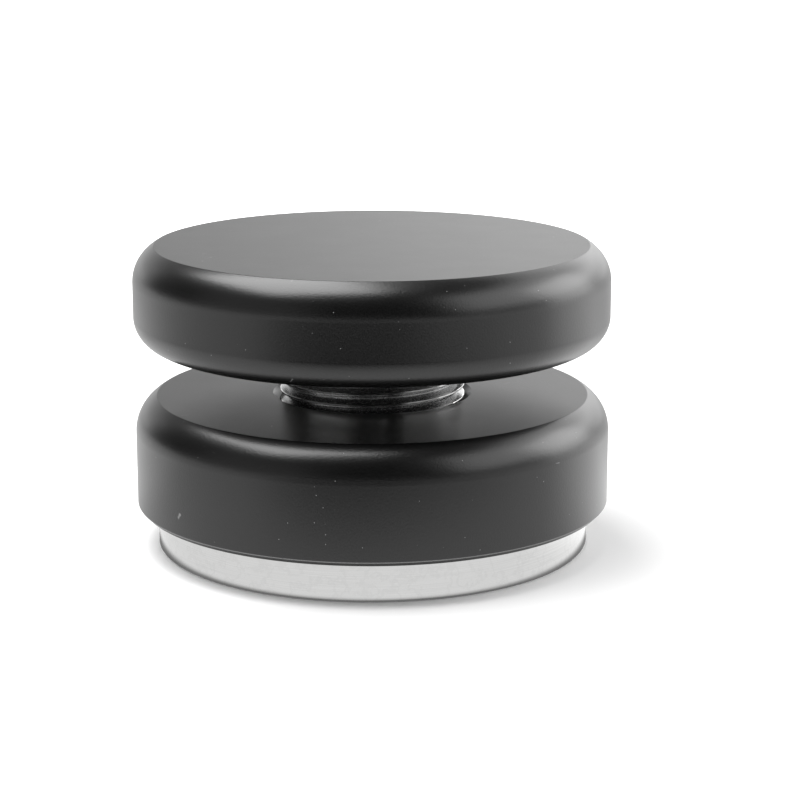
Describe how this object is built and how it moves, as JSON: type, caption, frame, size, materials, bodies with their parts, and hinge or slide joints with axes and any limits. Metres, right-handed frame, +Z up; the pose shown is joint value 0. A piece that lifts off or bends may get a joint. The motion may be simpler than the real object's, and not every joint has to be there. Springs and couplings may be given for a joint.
{
  "type": "espresso tamper",
  "caption": "Palm tamper: a steel base on a threaded stem, with a collar that screws up and down to set the depth and a handle disc that screws down to lock it.",
  "frame": {"origin": "centre of the tamping face, on the underside of the base", "axes": "+Z up the stem, the axis of all turned pieces and of both screw joints; X and Y are free, because the part is round"},
  "size_m": [0.064, 0.064, 0.0408],
  "materials": {
    "stainless_base": "fine turned stainless steel, satin",
    "polished_thread": "cut thread, polished stainless steel",
    "dark_fastener": "black oxide alloy steel",
    "plated_fastener": "ground spring steel",
    "black_anodised": "black anodised over a fine bead-blasted surface, satin",
    "black_rubber": "matt moulded rubber"
  },
  "bodies": {
    "base": {"tamping_base": "stainless_base", "threaded_stem": "polished_thread", "stem_bolt": "dark_fastener", "bolt_lock_washer": "plated_fastener", "stem_dowels": "plated_fastener"},
    "collar_carrier": {"collar_friction_ring": "black_rubber"},
    "collar": {"depth_collar": "black_anodised"},
    "handle_carrier": {"handle_grip_ring": "black_rubber"},
    "handle": {"palm_handle": "black_anodised"}
  },
  "joints": [
    {"name": "collar_travel", "type": "slide", "parent": "base", "child": "collar_carrier", "axis": [0, 0, 1], "range_m": [-0.0015, 0.0015]},
    {"name": "collar_turn", "type": "hinge", "parent": "collar_carrier", "child": "collar", "pos_m": [0, 0, 0.013], "axis": [0, 0, 1], "range_deg": [-360, 360]},
    {"name": "handle_travel", "type": "slide", "parent": "collar", "child": "handle_carrier", "axis": [0, 0, 1], "range_m": [-0.00675, 0.00075]},
    {"name": "handle_turn", "type": "hinge", "parent": "handle_carrier", "child": "handle", "pos_m": [0, 0, 0.0342], "axis": [0, 0, 1], "range_deg": [-1620, 180]}
  ],
  "couplings": [
    {"joint": "collar_travel", "follows": "collar_turn", "m_per_rad": 0.00023873},
    {"joint": "handle_travel", "follows": "handle_turn", "m_per_rad": 0.00023873}
  ]
}
